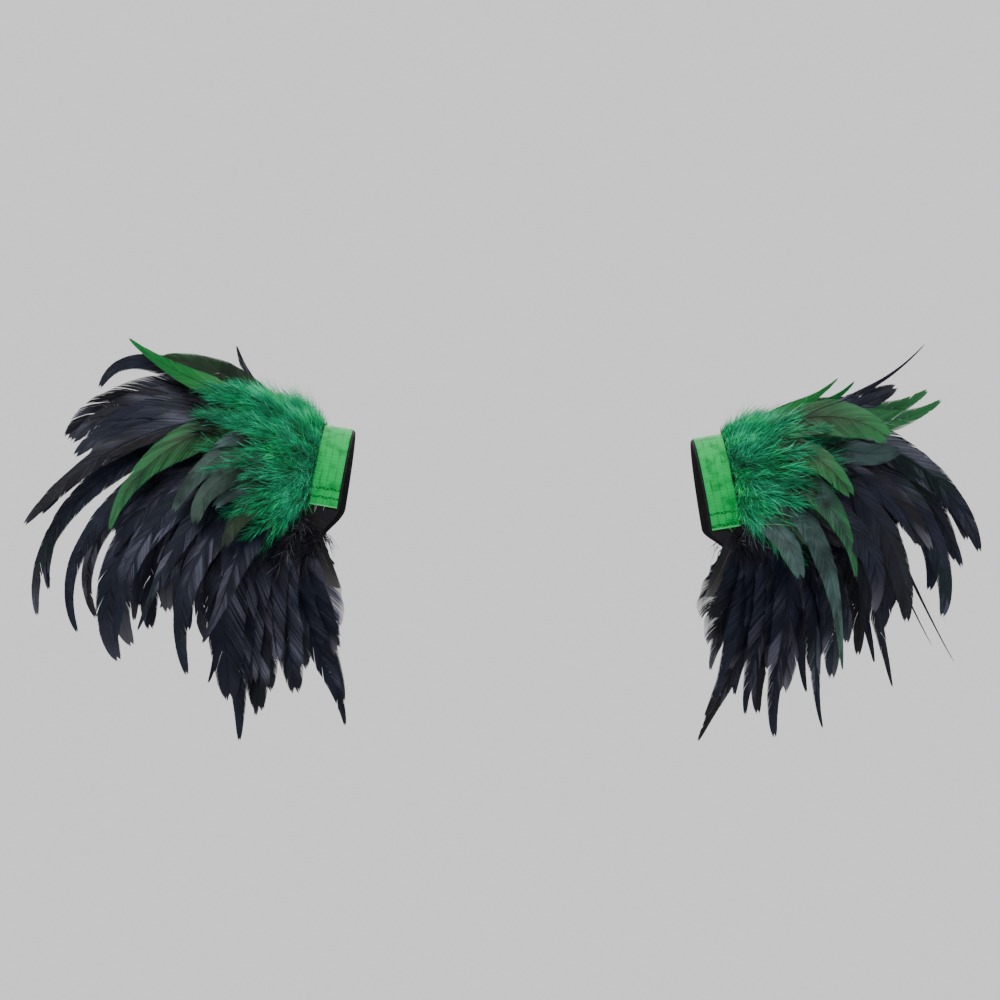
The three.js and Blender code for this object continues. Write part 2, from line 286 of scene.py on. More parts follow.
# Green towards the tip and the edge as far as a feather is dyed, and bronze or slate elsewhere.
def greenFeather(**dyes):
    g = Graph("green dyed coque feather")
    along, across, tone = g.number("along"), g.number("across"), g.number("tone")
    streak, dyed, fine = g.number("streak"), g.number("dye"), g.hairs()
    patch = g.noise(42, 3).rise(0.36, 0.64)
    dark = g.mix(tone.rise(0.45, 0.75), g.mix(patch, *dyes["bronze"]), g.mix(patch, *dyes["slate"]))
    hair = fine.rise(0.25, 0.75)
    bright = g.mix(dyed.rise(0.8, 0.95), g.mix(hair, *dyes["bright"]), g.mix(hair, *dyes["vivid"]))
    reach = dyed * 1.6 - 1.05 + along * 0.75 + across * 0.4 + (streak - 0.5) * 0.5
    colour = g.mix(reach.rise(0.05, 0.95), dark, bright)
    colour = g.mix((1 - along.rise(0.02, 0.3)) * 0.7, colour, dyes["foot"])
    colour = g.mix((1 - across.rise(0.02, 0.10)) * 0.45, colour, dyes["shaft"])
    return g.finish(
        Base_Color=colour,
        Roughness=0.5 - 0.14 * streak,
        Normal=g.bump(fine, 0.35, 0.0004),
        Specular_IOR_Level=0.14,
    )


# Paler to the tips of the barbs, partly the down's own colour and partly a painted highlight. Darker at
# their feet and in hollows, which is painted shade, and darker far along a plume.
def downMaterial(name, **dyes):
    g = Graph(name)
    along, reach = g.number("along"), g.number("across")
    tone, streak = g.number("tone"), g.number("streak")
    core = g.noise(38, 2).rise(0.46, 0.6) * (1 - 0.7 * reach)
    # Painted shade: the deep colour at the feet of the barbs.
    colour = g.mix(along.rise(0.0, 0.6), dyes["deep"], g.mix(core, dyes["body"], dyes["core"]))
    # Paler tips, partly a painted highlight.
    colour = g.mix(along.rise(0.4, 1.0) * streak.rise(0.1, 0.9), colour, dyes["tip"])
    # Painted shade in hollows, with a random tone for each plume.
    shade = g.noise(70, 2).rise(0.34, 0.62) * 0.7 + tone * 0.3
    colour = g.mix(0.8 - shade * 0.8, colour, dyes["deep"])
    colour = g.mix(reach.rise(0.45, 1.1) * 0.7, colour, dyes["deep"])
    return g.finish(
        Base_Color=colour,
        Roughness=0.8 - 0.1 * streak,
        Sheen_Weight=0.2,
        Sheen_Roughness=0.4,
        Sheen_Tint=dyes["sheen"],
        Specular_IOR_Level=0.08,
    )


def satinMaterial(**dyes):
    g = Graph("green satin ribbon")
    run, across = g.number("along"), g.number("across")
    worn, fold = g.number("streak"), g.number("pale")
    ribs, slub = g.grain(across * 3.0, 2), g.grain(run * 1.3, 2)
    colour = g.mix(ribs.rise(0.3, 0.7), *dyes["ribs"])
    colour = g.mix(slub.rise(0.35, 0.8) * 0.5, colour, dyes["slub"])
    colour = g.mix(g.noise(90, 3).rise(0.45, 0.7) * 0.6, colour, dyes["cloud"])
    # Painted shade in the seams and creases.
    colour = g.mix(worn * 0.95, colour, dyes["worn"])
    # Painted highlight along the fold at each end.
    colour = g.mix(fold * 0.8, colour, dyes["fold"])
    threads = run.waves(9.0) * 0.4 + across.waves(14.0) * 0.6
    return g.finish(
        Base_Color=colour,
        Roughness=0.46 + 0.1 * slub,
        Normal=g.bump(threads, 0.35, 0.00012),
        Specular_IOR_Level=0.06,
        Specular_Tint=dyes["tint"],
    )


def feltMaterial(dark, light, cloudy):
    g = Graph("black wool felt")
    fibre, cloud = g.noise(1600, 4), g.noise(120, 3)
    colour = g.mix(fibre.rise(0.3, 0.75), dark, light)
    return g.finish(
        Base_Color=g.mix(cloud.rise(0.5, 0.8) * 0.4, colour, cloudy),
        Roughness=0.92 - 0.06 * fibre,
        Normal=g.bump(fibre * 0.7 + cloud * 0.5, 0.6, 0.0004),
        Specular_IOR_Level=0.15,
        Sheen_Weight=0.04,
    )


def elasticMaterial(dark, light):
    g = Graph("black woven elastic")
    ribs, cords = g.number("along").waves(5.2), g.number("across").waves(7.9)
    return g.finish(
        Base_Color=g.mix(ribs * 0.6 + cords * 0.4, dark, light),
        Roughness=0.62 + 0.12 * ribs,
        Normal=g.bump(ribs * 0.6 + cords * 0.6, 0.7, 0.0003),
        Specular_IOR_Level=0.25,
    )


def threadMaterial(name, dark, light):
    g = Graph(name)
    twist = g.number("along").waves(6.0)
    return g.finish(
        Base_Color=g.mix(twist, dark, light),
        Roughness=0.6 + 0.1 * twist,
        Normal=g.bump(twist, 0.4, 0.0001),
        Sheen_Weight=0.2,
    )


# Every colour of the pair. Where there are two, noise goes from the first to the second.
finishes = {
    "black": blackFeather(
        # streak and sheen are the colours of painted highlights along the barbs.
        dark=(0.0032, 0.0040, 0.0085), light=(0.0064, 0.0080, 0.0170), brown=(0.008, 0.006, 0.004),
        green=(0.002, 0.009, 0.005), streak=(0.036, 0.035, 0.056), sheen=(0.15, 0.15, 0.21),
        tip=(0.20, 0.19, 0.21), tint=(0.8, 0.85, 1.0),
    ),
    "green": greenFeather(
        bronze=((0.005, 0.012, 0.006), (0.013, 0.030, 0.012)),
        slate=((0.007, 0.017, 0.016), (0.034, 0.062, 0.062)),
        bright=((0.006, 0.065, 0.018), (0.022, 0.14, 0.045)),
        vivid=((0.001, 0.075, 0.012), (0.008, 0.16, 0.03)),
        foot=(0.0, 0.09, 0.022), shaft=(0.012, 0.022, 0.010),
    ),
    # In each down, deep is also the colour of painted shade at the feet of the barbs and in hollows, and
    # tip is partly a painted highlight.
    "down": downMaterial(
        "emerald down",
        deep=(0.001, 0.058, 0.026), body=(0.012, 0.38, 0.17), core=(0.006, 0.66, 0.13),
        tip=(0.10, 0.92, 0.50), sheen=(0.6, 1.0, 0.75),
    ),
    "paleDown": downMaterial(
        "pale down",
        deep=(0.05, 0.05, 0.055), body=(0.16, 0.16, 0.17), core=(0.22, 0.22, 0.23),
        tip=(0.35, 0.35, 0.36), sheen=(1.0, 1.0, 1.0),
    ),
    "darkDown": downMaterial(
        "black down",
        deep=(0.001, 0.001, 0.002), body=(0.004, 0.0045, 0.008), core=(0.006, 0.006, 0.010),
        tip=(0.02, 0.02, 0.03), sheen=(0.6, 0.6, 0.8),
    ),
    "satin": satinMaterial(
        # Two of these colours are painted light: the shade in the seams and creases, and the highlight
        # along the fold at each end.
        ribs=((0.0, 0.18, 0.030), (0.001, 0.33, 0.068)), slub=(0.001, 0.46, 0.11),
        cloud=(0.0, 0.08, 0.010), worn=(0.0, 0.025, 0.003), fold=(0.07, 0.48, 0.14),
        tint=(0.1, 1.0, 0.25),
    ),
    "felt": feltMaterial((0.002, 0.002, 0.0025), (0.012, 0.012, 0.014), cloudy=(0.016, 0.016, 0.018)),
    "elastic": elasticMaterial((0.002, 0.002, 0.003), (0.014, 0.014, 0.016)),
    "greenThread": threadMaterial("green thread", (0.010, 0.20, 0.02), (0.05, 0.45, 0.07)),
    "paleThread": threadMaterial("pale loose thread", (0.10, 0.17, 0.12), (0.36, 0.46, 0.38)),
    "blackThread": threadMaterial("black thread", (0.004, 0.004, 0.005), (0.04, 0.04, 0.045)),
}
print("materials made")


# How each fringe lies: its ends round the armhole, where its tape lies across the band at the top and
# how much nearer the neck it is at its ends, and how steeply the feathers leave.
fringes = {
    "green": {"ends": 88, "rootTop": 26, "rootLost": 0, "rise": 15},
    "blackUpper": {"ends": 84, "rootTop": 39, "rootLost": 6, "rise": 7},
    "blackLower": {"ends": 116, "rootTop": 54, "rootLost": 40, "rise": 2},
}

# narrowFrom and narrow taper the vane towards its tip, tip rounds the tip off, open is the angle
# between a barb and the shaft, ragged how torn its end is, and notches how many gaps its edge has.
shapes = {
    "sickle": {"narrowFrom": 0.4, "narrow": 0.55, "tip": 12, "open": 31, "ragged": 0.02, "notches": 0.6},
    "round": {"narrowFrom": 0.6, "narrow": 0.25, "tip": 9, "open": 35, "ragged": 0.02, "notches": 0.7},
    "leaf": {"narrowFrom": 0.42, "narrow": 0.7, "tip": 8, "open": 30, "ragged": 0.03, "notches": 0.7},
    "spike": {"narrowFrom": 0.1, "narrow": 0.85, "tip": 12, "open": 24, "ragged": 0.03, "notches": 0.2},
    "torn": {"narrowFrom": 0.5, "narrow": 0.35, "tip": 7, "open": 31, "ragged": 0.07, "notches": 1.5},
}

# Feathers that make the outline: around, then the tip's place out, up and front of the middle of the
# pair, the slope on which the tip arrives, the vane's width, its shape and how far it is dyed.
Row = namedtuple("Row", "around out up front arrive wide shape dye", defaults=[0.0])
featherRows = {
    ("right", "green"): [
        (4, 281, 60, 8, 5, 15, "round", 0.2),
        (16, 303, 73, 22, 40, 15, "leaf", 0.95),
        (30, 313, -72, 78, -77, 28, "leaf", 0.56),
        (44, 264, -58, 90, -66, 15, "sickle", 0.05),
        (58, 247, -68, 96, -85, 15, "round"),
        (72, 225, -85, 98, -75, 14, "round"),
    ],
    ("right", "blackUpper"): [
        (-7.5, 224, 70, -7, 74, 8, "leaf"),
        (2.5, 328, 37, 15, -66, 16, "sickle"),
        (9, 350, -5, 10, -49, 24, "torn"),
        (12, 346, -16, 26, -48, 22, "sickle"),
        (16, 336, -24, 40, -52, 20, "torn"),
        (25, 379, -68, 63, -52, 17, "sickle"),
        (31, 370, -137, 58, -102, 16, "sickle"),
        (39, 338, -149, 72, -118, 14, "sickle"),
        (47, 305, -170, 84, -122, 19, "round"),
        (55, 306, -156, 98, -92, 15, "sickle"),
        (63, 288, -146, 112, -70, 14, "leaf"),
        (71, 251, -179, 118, -108, 16, "sickle"),
        (79, 239, -155, 126, -60, 18, "leaf"),
    ],
    ("right", "blackLower"): [
        (20, 296, -131, 34, -95, 18, "sickle"),
        (36, 285, -148, 52, -100, 18, "round"),
        (52, 262, -157, 66, -95, 18, "sickle"),
        (66, 239, -187, 74, -70, 13, "leaf"),
        (76, 221, -200, 91, -95, 23, "round"),
        (85, 214, -229, 97, -88, 23, "leaf"),
        (93, 200, -208, 87, -92, 22, "round"),
        (101, 173, -195, 84, -95, 22, "round"),
        (110, 136, -219, 76, -98, 19, "leaf"),
        (115, 147, -168, 62, -95, 20, "round"),
    ],
    ("left", "green"): [
        (4, 255, 42, 0, 48, 10, "leaf", 1.0),
        (7, 238, 41, 6, 45, 9, "leaf", 1.0),
        (14, 319, 27, 26, 37, 22, "leaf", 0.7),
        (22, 284, -12, 62, 16, 18, "round"),
        (29, 274, -4, 77, -40, 23, "round", 0.5),
        (40, 244, -47, 89, -60, 15, "round", 0.5),
        (54, 246, -107, 99, -86, 17, "leaf", 0.5),
        (66, 234, -175, 118, -88, 15, "leaf", 0.26),
        (80, 205, -108, 104, -75, 15, "round", 0.2),
    ],
    ("left", "blackUpper"): [
        (2, 305, 69, 34, 48, 7, "spike"),
        (9, 283, 35, 6, 30, 14, "round"),
        (16, 350, -86, 21, -70, 24, "sickle"),
        (21, 333, -101, 40, -75, 21, "sickle"),
        (25, 345, -89, 50, -78, 20, "sickle"),
        (32, 315, -138, 62, -108, 20, "sickle"),
        (40, 322, -171, 76, -60, 6, "spike"),
        (48, 285, -141, 88, -95, 17, "round"),
        (57, 274, -189, 91, -78, 15, "leaf"),
        (66, 257, -133, 111, -115, 17, "torn"),
        (81, 224, -145, 78, -88, 10, "sickle"),
    ],
    ("left", "blackLower"): [
        (20, 286, -129, 34, -95, 18, "sickle"),
        (36, 270, -148, 52, -100, 18, "round"),
        (52, 251, -167, 66, -95, 18, "sickle"),
        (65, 230, -184, 78, -92, 20, "round"),
        (77, 222, -220, 88, -76, 14, "leaf"),
        (87, 186, -227, 92, -82, 18, "sickle"),
        (96, 164, -210, 88, -92, 18, "leaf"),
        (105, 145, -195, 80, -95, 16, "leaf"),
        (112, 130, -231, 72, -116, 17, "leaf"),
        (115, 140, -160, 60, -98, 20, "round"),
    ],
}

# Feathers between those: how many, how much of their length shows, how far they stray, and how wide
# a stretch round the top of the armhole is left clear of them.
between = {
    "green": {"count": 26, "cut": (0.45, 0.8), "stray": 6, "wide": (13, 18), "clear": 12},
    "blackUpper": {"count": 50, "cut": (0.45, 0.78), "stray": 7, "wide": (14, 21), "clear": 9},
    "blackLower": {"count": 56, "cut": (0.5, 0.88), "stray": 7, "wide": (14, 21), "clear": 44},
}

# The back of a fringe repeats its front with its own lengths, out at least leastOut.
rear = {"around": 1.5, "leastOut": 144, "out": (0.985, 0.045), "up": (3, 14), "front": 4}

# Feathers droop along the band more and more between two places round it. leave and arrive are the
# shares of their reach over which they do so, ahead how far the tip runs on to the front or the back,
# and aside and flat say which way the face has turned by turnTo.
course = {
    "droop": 72, "droopFrom": 35, "droopTo": 112, "leave": 0.4, "arrive": 0.36,
    "ahead": -0.15, "aside": 0.5, "flat": 0.3, "turnFrom": 0.05, "turnTo": 0.75, "roll": 14,
}

# spacing lies between barbs, and sideSpacing between those of the feathers in between. The vane is
# rootShare of its width at its foot and widens from there, bare is the shaft's share without barbs,
# crowd brings barbs closer near the foot, cup bends the vane's edges down, clump is how many barbs keep
# together, and fuller makes up for the edges that taper.
vane = {
    "spacing": 1.25, "sideSpacing": 1.8, "rootShare": 0.45, "widen": 2.2, "bare": 0.05, "crowd": 0.92,
    "cup": 0.16, "clump": (4, 13), "fuller": 1.42, "handed": (0.88, 1.08), "paleTip": 0.4,
}

# stops are places along a barb, with its width and its tilt at each. A barb is bowed towards the tip,
# lies closer to the shaft there by closing degrees, and stands off it by lift.
barb = {
    "stops": (0, 0.4, 0.78, 1.0), "widths": (1.3, 1.6, 1.5, 0.9), "tilts": (0.3, 1, 1, 0.5),
    "bow": 1.22, "foot": 0.012, "lift": 0.15, "closing": 9, "tipFuller": 1.2, "tilt": (0.10, 0.07),
    "raised": 0.045, "ripple": 0.05, "wave": 0.025, "uneven": 0.02, "reach": (0.3, 1.1),
    "notchAt": (0.3, 0.96), "notchDeep": (0.5, 2.2), "notchLong": 0.03,
}
shaft = {"root": 0.75, "tip": 0.12, "rings": 16, "thick": 0.6, "thicker": 40, "stop": 0.97, "lift": 0.2}


# A number from 0 to 1 that is always the same for the same number.
def chance(n):
    s = math.sin(n * 127.1 + 311.7) * 43758.5453
    return s - math.floor(s)


# The line that a shaft follows, with the ways that are ahead, sideways and over it.
class Spine:
    def __init__(self, corners, facing, cut, roll, steps=140):
        t = np.linspace(0, cut, steps)[:, None]
        a, b, c, d = corners
        points = (1 - t) ** 3 * a + 3 * (1 - t) ** 2 * t * b + 3 * (1 - t) * t**2 * c + t**3 * d
        lengths = np.linalg.norm(np.diff(points, axis=0), axis=1)
        self.long = lengths.sum()
        self.run = np.concatenate([[0], np.cumsum(lengths)]) / self.long
        ahead = unit(np.gradient(points, axis=0))
        flatSide = unit(np.cross(facing(t), ahead))
        flatOver = np.cross(ahead, flatSide)
        r = math.radians(roll)
        side = flatSide * math.cos(r) + flatOver * math.sin(r)
        over = np.cross(ahead, side)
        self.table = np.concatenate([points, ahead, side, over], 1).T

    def frame(self, share):
        share = np.asarray(share, float)
        inside = np.clip(share, 0, 1)
        rows = np.stack([np.interp(inside, self.run, column) for column in self.table], -1)
        spot, ahead, side, over = (rows[..., i : i + 3] for i in (0, 3, 6, 9))
        return spot + ahead * ((share - inside) * self.long)[..., None], ahead, side, over

    def at(self, share, across, lift):
        spot, _, side, over = self.frame(share)
        return spot + side * across[..., None] + over * lift[..., None]


# A place on the bake map for each feather: a column and a row of a grid of cells, with a rim left free.
class Cells:
    rimAcross, rimAlong = 0.03, 0.06

    def __init__(self, count, columns=4):
        self.columns, self.rows, self.next = columns, math.ceil(count / columns), 0

    def take(self):
        column, row = self.next % self.columns, self.next // self.columns
        self.next += 1

        def cell(u, v):
            u = column + self.rimAcross + (1 - 2 * self.rimAcross) * np.clip(u, 0, 1)
            v = row + self.rimAlong + (1 - 2 * self.rimAlong) * np.clip(v, 0, 1)
            return np.stack([u / self.columns, v / self.rows], -1)

        return cell


def rootAcross(fringe, around):
    return fringe["rootTop"] - fringe["rootLost"] * (np.abs(around) / fringe["ends"]) ** 3


def featherSpine(side, fringe, row, cut, roll):
    root = side.at(row.around, rootAcross(fringe, row.around), tape["root"])
    droop = course["droop"] * smooth(abs(row.around), course["droopFrom"], course["droopTo"])
    rise = math.radians(fringe["rise"])
    flat = side.fromRing(row.around)
    leave = side.drooping(row.around, droop) * math.cos(rise) + flat * math.sin(rise)
    tip = np.array([side.sign * row.out, -row.front, row.up])
    slope = math.radians(row.arrive)
    forth = 1 if row.front >= 0 else -1
    end = unit(np.array([side.sign * math.cos(slope), course["ahead"] * forth, math.sin(slope)]))
    reach = np.linalg.norm(tip - root)
    turned = unit(np.array([course["aside"] * side.sign, -forth, 0]) + course["flat"] * flat)
    foot, neck = root + leave * course["leave"] * reach, tip - end * course["arrive"] * reach
    turning = lambda t: smooth(t, course["turnFrom"], course["turnTo"])
    return Spine((root, foot, neck, tip), lambda t: unit(flat + (turned - flat) * turning(t)), cut, roll)


def behind(row, n):
    least, more = rear["out"]
    up, higher = rear["up"]
    return row._replace(
        around=-row.around - rear["around"],
        out=max(rear["leastOut"], row.out * (least + more * chance(n))),
        up=row.up + up + higher * chance(n + 50),
        front=-row.front - rear["front"],
    )


def halfVane(share, wide, shape):
    body = np.minimum(1, vane["rootShare"] + vane["widen"] * share)
    taper = 1 - shape["narrow"] * smooth(share, shape["narrowFrom"], 1)
    return 0.5 * wide * body * taper * np.sqrt(np.clip(1 - share ** shape["tip"], 0, 1))


# At a notch the barbs lean away from each other.
def notches(tip, shape, rng):
    drift = np.zeros(len(tip))
    for _ in range(rng.poisson(shape["notches"])):
        at, deep = rng.uniform(*barb["notchAt"]), rng.uniform(*barb["notchDeep"])
        drift += deep * np.sign(tip - at) * np.exp(-np.abs(tip - at) / barb["notchLong"])
    return drift


# How far each barb reaches from the shaft. Near the tip some clumps are torn shorter.
def barbReach(tip, clump, wide, shape, rng):
    count = len(tip)
    wave = np.sin(tip * rng.uniform(8, 20) + rng.uniform(0, 6)) + np.sin(tip * rng.uniform(20, 45))
    length = 1 + barb["wave"] * wave - barb["uneven"] * rng.random(count)
    tear = shape["ragged"] * np.abs(rng.normal(0, 1, count))[clump] * smooth(tip, 0.55, 0.9)
    length -= tear + 0.5 * tear * rng.random(count)
    return halfVane(tip, wide, shape) * np.clip(length, *barb["reach"])


# Barbs are narrow strips that leave the shaft forwards and lie edge to edge, apart from a few notches.
def addBarbs(weave, spine, wide, shape, hand, spacing, cell, rng, tone, dye, pale):
    count = max(16, int(spine.long * (1 - vane["bare"]) / spacing))
    tip = np.linspace(vane["bare"], 1, count) ** vane["crowd"]
    clump = np.repeat(np.arange(count), rng.integers(*vane["clump"], count))[:count]
    drift = notches(tip, shape, rng)
    reach = barbReach(tip, clump, wide, shape, rng)
    opening = np.radians(shape["open"] - barb["closing"] * tip)
    root = np.maximum(barb["foot"], tip - reach / np.tan(opening) / spine.long)
    raised = rng.normal(0, barb["raised"], count)[clump]
    raised = raised + barb["ripple"] * np.sin(tip * rng.uniform(9, 25) + rng.uniform(0, 6))
    v = np.array(barb["stops"])[None, :]
    middle = root[:, None] + (tip - root)[:, None] * v ** barb["bow"] + drift[:, None] * v**2 / spine.long
    half = 0.5 * spacing / spine.long * np.array(barb["widths"])[None, :]
    half = half * (1 + barb["tipFuller"] * smooth(tip, 0.9, 0.99))[:, None]
    across = hand * reach[:, None] * v
    lift = barb["lift"] - vane["cup"] * reach[:, None] * v**2 + raised[:, None] * reach[:, None] * v
    tilt = rng.normal(*barb["tilt"], count)[:, None] * np.array(barb["tilts"])[None, :]
    share = np.stack([middle - half, middle + half], -1)
    both = lambda x: np.broadcast_to(x[..., None], share.shape)
    points = spine.at(share, both(across), np.stack([lift + tilt, lift - tilt], -1))
    edge = np.stack([tip[:, None] - half, tip[:, None] + half], -1)
    streak = np.clip(rng.random(count)[clump] * 0.7 + rng.random(count) * 0.3, 0, 1)
    spread = both(np.broadcast_to(v, across.shape))
    weave.add(
        points, cell(share, 0.5 + hand * (0.05 + 0.45 * spread)),
        along=share, across=spread, hair=edge * spine.long, streak=streak[:, None, None],
        tone=tone, dye=dye, pale=pale * smooth(share, 0.8, 1.05),
    )


def addShaft(weave, spine, thick, cell, tone, dye):
    share = np.linspace(0, shaft["stop"], shaft["rings"])[:, None]
    turn = np.radians([90, 210, 330])
    size = thick * (shaft["root"] + (shaft["tip"] - shaft["root"]) * share**0.8)
    along = np.broadcast_to(share, (len(share), len(turn)))
    points = spine.at(along, size * np.cos(turn), size * np.sin(turn) + shaft["lift"])
    spots = cell(along, 0.5 + 0.04 * np.broadcast_to(np.cos(turn + 0.3), along.shape))
    weave.add(
        points[None], spots[None], closed=True,
        along=along, across=0.0, hair=along * 9, streak=0.55, tone=tone, dye=dye,
    )


def addFeather(weave, side, fringe, row, cells, rng, cut=1.0, spacing=vane["spacing"]):
    spine = featherSpine(side, fringe, row, cut, rng.uniform(-course["roll"], course["roll"]))
    cell, tone = cells.take(), chance(row.out + 2.7 * row.around)    # bronze to slate
    pale = vane["paleTip"] * rng.random() ** 7
    for hand in (-1, 1):
        wide = row.wide * (vane["fuller"] * rng.uniform(*vane["handed"]))
        addBarbs(weave, spine, wide, shapes[row.shape], hand, spacing, cell, rng, tone, row.dye, pale)
    addShaft(weave, spine, shaft["thick"] + row.wide / shaft["thicker"], cell, tone, row.dye)


# The tape that the roots are sewn into.
def addTape(weave, side, fringe, cell):
    around = np.linspace(-fringe["ends"], fringe["ends"], tape["rows"])[:, None]
    across = rootAcross(fringe, around) + tape["halfWidth"] * np.array([-1, 1, 1, -1])
    height = np.array([tape["low"], tape["low"], tape["high"], tape["high"]])
    points = side.at(np.broadcast_to(around, across.shape), across, height)
    u = np.broadcast_to(np.linspace(0, 1, tape["rows"])[:, None], across.shape)
    v = np.broadcast_to(np.array([0.1, 0.35, 0.6, 0.85]), across.shape)
    spots = cell(u, v)
    if side.sign > 0:
        points, spots = points[:, ::-1], spots[:, ::-1]
    weave.add(points[None], spots[None], closed=True, streak=0.1, tone=0.3)


def makeFringe(side, name, label, finish):
    fringe, extra = fringes[name], between[name]
    rng = np.random.default_rng(side.seed + len(name))
    weave, cells = Weave(), Cells(extra["count"] + 40)
    front = [Row(*row) for row in featherRows[side.name, name]]
    back = [behind(row, n) for n, row in enumerate(row for row in front if row.around > 6)]
    addTape(weave, side, fringe, cells.take())
    full = sorted(row for row in front + back if row.wide > 9)
    columns = np.array([row[:5] for row in full]).T
    for n in range(extra["count"]):
        spread = (n + 0.5 + rng.uniform(-0.4, 0.4)) / extra["count"]
        around = columns[0][0] + spread * (columns[0][-1] - columns[0][0])
        if abs(around) < extra["clear"]:
            continue
        out, up, ahead, arrive = (np.interp(around, columns[0], column) for column in columns[1:])
        stray = rng.normal(0, extra["stray"], 3)
        shape = rng.choice(["sickle", "leaf", "round", "torn"])
        near = full[int(np.argmin(np.abs(columns[0] - around)))]
        dye = near.dye * rng.uniform(0.2, 0.8)
        ahead -= 6 * np.sign(ahead)    # a little inside the feathers that make the outline
        wide = rng.uniform(*extra["wide"])
        row = Row(around, out + stray[0], up + stray[1], ahead + stray[2], arrive, wide, shape, dye)
        addFeather(weave, side, fringe, row, cells, rng, rng.uniform(*extra["cut"]), vane["sideSpacing"])
    for row in back + front:
        addFeather(weave, side, fringe, row, cells, rng)
    weave.make(side, f"{label}_feathers", finish, f"{finish}_feather", f"{label}_fringe")


for side in sides:
    makeFringe(side, "blackLower", "black_lower", "black")
    makeFringe(side, "blackUpper", "black_upper", "black")
    makeFringe(side, "green", "green", "green")
print("feathers made")


# Down. layers are the climb in degrees and the share of the length of each row of plumes. ends,
# inwards and endInwards say where they are sewn, long and endLong how long they are at the top and the
# ends, and barbs, barb and half how many barbs a plume has, how long and how wide.
downs = {
    "green": {
        "fringe": "green", "finish": "down", "slot": "green_feather", "spacing": 1,
        "plumes": 28, "layers": ((2, 1.0), (12, 0.97), (24, 0.8), (36, 0.34)), "ends": 87,
        "inwards": 4, "endInwards": 0, "long": 88, "endLong": 60, "barbs": 250, "barb": 14, "half": 0.21,
    },
    "black": {
        "fringe": "blackLower", "finish": "darkDown", "slot": "black_feather",
        "spacing": 1, "plumes": 44, "layers": ((0, 1.0), (8, 0.6)), "ends": 113, "inwards": 4,
        "endInwards": 13, "long": 70, "endLong": 70, "barbs": 105, "barb": 18, "half": 0.26,
    },
    "pale": {
        "fringe": "blackLower", "finish": "paleDown", "slot": "black_feather",
        "spacing": 0.45, "plumes": 12, "layers": ((5, 1.0),), "ends": 113, "inwards": 2,
        "endInwards": 8, "long": 66, "endLong": 88, "barbs": 80, "barb": 11, "half": 0.17,
    },
}

# Every plume droops, strays and rolls by these degrees and sways by these millimetres, and it climbs by
# topFlatter degrees less at the top, at most. Barbs leave its shaft at open degrees, less near its tip
# and more near its foot, turn round it by the mean and spread of turn, and bend back along it.
plume = {
    "droop": 60, "stray": 6, "sway": 5, "roll": 30, "steps": 60, "climbStray": 2, "topFlatter": 18,
    "open": 58, "tipOpen": -32, "footOpen": 40, "turn": (80, 48), "flatTurn": 86, "tipTurn": 70,
    "bend": 0.55, "along": 0.6, "curl": 0.4, "inwards": -0.3, "taper": 0.75,
}


def downSpine(side, look, around, rise, long, rng):
    inwards = look["inwards"] + look["endInwards"] * smooth(abs(around), 80, 102)
    middle = rootAcross(fringes[look["fringe"]], around)
    root = side.at(around, middle + rng.uniform(-inwards, 1), tape["root"])
    droop = plume["droop"] * smooth(abs(around), 35, 100) + rng.normal(0, plume["stray"])
    ahead, away = side.drooping(around, droop), side.fromRing(around)
    climb = math.tan(math.radians(rise)) * long
    sway = unit(np.cross(ahead, away)) * rng.normal(0, plume["sway"])
    spot = lambda share, lift: root + ahead * share * long + away * lift * climb + sway * share**2
    corners = (root, spot(0.35, 0.42), spot(0.75, 0.85), spot(1, 0.8))
    roll = rng.uniform(-plume["roll"], plume["roll"])
    return Spine(corners, lambda t: away[None, :], 1.0, roll, plume["steps"])


def addPlume(weave, spine, look, cell, rng):
    count, tone = look["barbs"], rng.random()
    root = np.sort(rng.uniform(0.0, 1.0, count) ** 1.15)
    length = look["barb"] * (0.55 + 0.6 * np.sin(np.pi * root**0.8)) * rng.uniform(0.6, 1.15, count)
    most = plume["flatTurn"] + plume["tipTurn"] * root    # near the band no barb points into the felt
    turn = np.minimum(np.abs(rng.normal(*plume["turn"], count)), most) * rng.choice([-1, 1], count)
    turn = np.radians(turn)
    spot, ahead, side, over = spine.frame(root)
    radial = side * np.sin(turn)[:, None] + over * np.cos(turn)[:, None]
    opening = plume["open"] + plume["tipOpen"] * root + plume["footOpen"] * np.exp(-root / 0.09)
    opening = np.radians(opening)[:, None]
    leave = ahead * np.cos(opening) + radial * np.sin(opening)
    bend = ahead * plume["along"] + rng.normal(0, plume["curl"], (count, 3)) + radial * plume["inwards"]
    v = np.linspace(0, 1, 4)[None, :, None]
    path = leave[:, None] * v + bend[:, None] * v**2 * plume["bend"]
    path = spot[:, None] + length[:, None, None] * path
    flat = unit(np.cross(leave, rng.normal(0, 1, (count, 3))))[:, None]
    half = look["half"] * (1 - plume["taper"] * v)
    points = np.stack([path - flat * half, path + flat * half], 2)
    streak = rng.random(count)[:, None, None]
    u = np.broadcast_to(v, points.shape[:3])
    spots = cell(u, np.broadcast_to(streak * 0.85, u.shape) + np.array([0, 0.12]))
    weave.add(points, spots, along=u, across=root[:, None, None], streak=streak, tone=tone)


